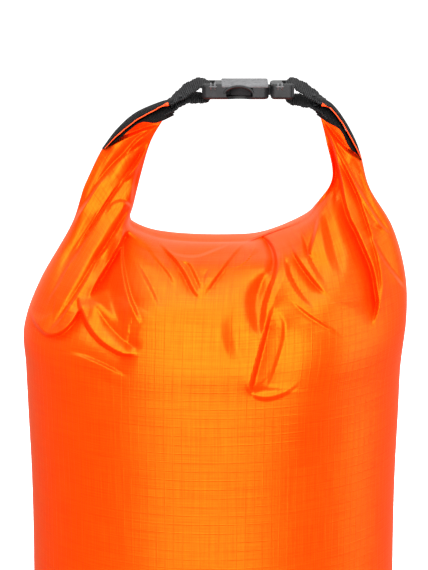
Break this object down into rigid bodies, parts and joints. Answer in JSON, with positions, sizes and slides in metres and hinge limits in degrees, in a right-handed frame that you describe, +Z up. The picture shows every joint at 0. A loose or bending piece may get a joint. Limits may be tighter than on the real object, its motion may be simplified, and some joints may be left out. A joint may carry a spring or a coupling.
{
  "type": "roll-top dry bag",
  "caption": "Cylindrical roll-top dry bag in thin coated ripstop, closed, its roll ends bent up and joined by a side-release buckle as a carrying loop.",
  "frame": {"origin": "centre of the base, on the surface that the bag stands on", "axes": "+Z up along the bag, -Y to the front, +X to the right when seen from the front"},
  "size_m": [0.2123, 0.212, 0.4196],
  "materials": {
    "ripstop": "satin",
    "seam_tape": "satin",
    "mouth_strip": "matte",
    "webbing": "matte",
    "thread": "matte",
    "buckle": "satin"
  },
  "bodies": {
    "bag": {"body_panel": "ripstop", "base_panel": "ripstop", "base_seam_tape": "seam_tape", "side_seam_tape": "seam_tape"},
    "handle": {"closure_roll": "ripstop", "front_mouth_strip_core": "mouth_strip", "rear_mouth_strip_core": "mouth_strip", "left_arm_gather": "ripstop", "right_arm_gather": "ripstop"},
    "left_arm": {"left_arm_roll": "ripstop", "left_outer_mouth_strip": "mouth_strip", "left_inner_mouth_strip": "mouth_strip", "left_mouth_hem": "ripstop", "left_webbing_loop": "webbing", "left_bar_tacks": "thread"},
    "right_arm": {"right_arm_roll": "ripstop", "right_outer_mouth_strip": "mouth_strip", "right_inner_mouth_strip": "mouth_strip", "right_mouth_hem": "ripstop", "right_webbing_loop": "webbing", "right_bar_tacks": "thread"},
    "socket": {"buckle_socket": "buckle"},
    "plug": {"buckle_plug": "buckle"},
    "front_prong": {"front_prong": "buckle"},
    "rear_prong": {"rear_prong": "buckle"}
  },
  "joints": [
    {"name": "handle_flop", "type": "hinge", "parent": "bag", "child": "handle", "pos_m": [0.008, 0, 0.324], "axis": [1, 0, 0], "range_deg": [-40, 40]},
    {"name": "left_arm_swing", "type": "hinge", "parent": "handle", "child": "left_arm", "pos_m": [-0.042, 0, 0.336], "axis": [0, -1, 0], "range_deg": [0, 45], "deforming": ["left_arm_gather"]},
    {"name": "right_arm_swing", "type": "hinge", "parent": "handle", "child": "right_arm", "pos_m": [0.062, 0, 0.336], "axis": [0, 1, 0], "range_deg": [0, 45], "deforming": ["right_arm_gather", "front_prong", "rear_prong"]},
    {"name": "socket_swivel", "type": "hinge", "parent": "left_arm", "child": "socket", "pos_m": [-0.0052, 0, 0.4154], "axis": [0, -1, 0], "range_deg": [-45, 0]},
    {"name": "plug_swivel", "type": "hinge", "parent": "right_arm", "child": "plug", "pos_m": [0.0412, 0, 0.4154], "axis": [0, 1, 0], "range_deg": [-45, 0]},
    {"name": "front_prong_flex", "type": "hinge", "parent": "plug", "child": "front_prong", "pos_m": [0.0303, -0.0089, 0.4154], "axis": [0, 0, -1], "range_deg": [0, 7], "stiffness_Nm_per_rad": 0.2},
    {"name": "rear_prong_flex", "type": "hinge", "parent": "plug", "child": "rear_prong", "pos_m": [0.0303, 0.0089, 0.4154], "axis": [0, 0, 1], "range_deg": [0, 7]}
  ],
  "couplings": [
    {"joint": "socket_swivel", "follows": "left_arm_swing", "ratio": -1},
    {"joint": "plug_swivel", "follows": "right_arm_swing", "ratio": -1},
    {"joint": "rear_prong_flex", "follows": "front_prong_flex", "ratio": 1}
  ]
}
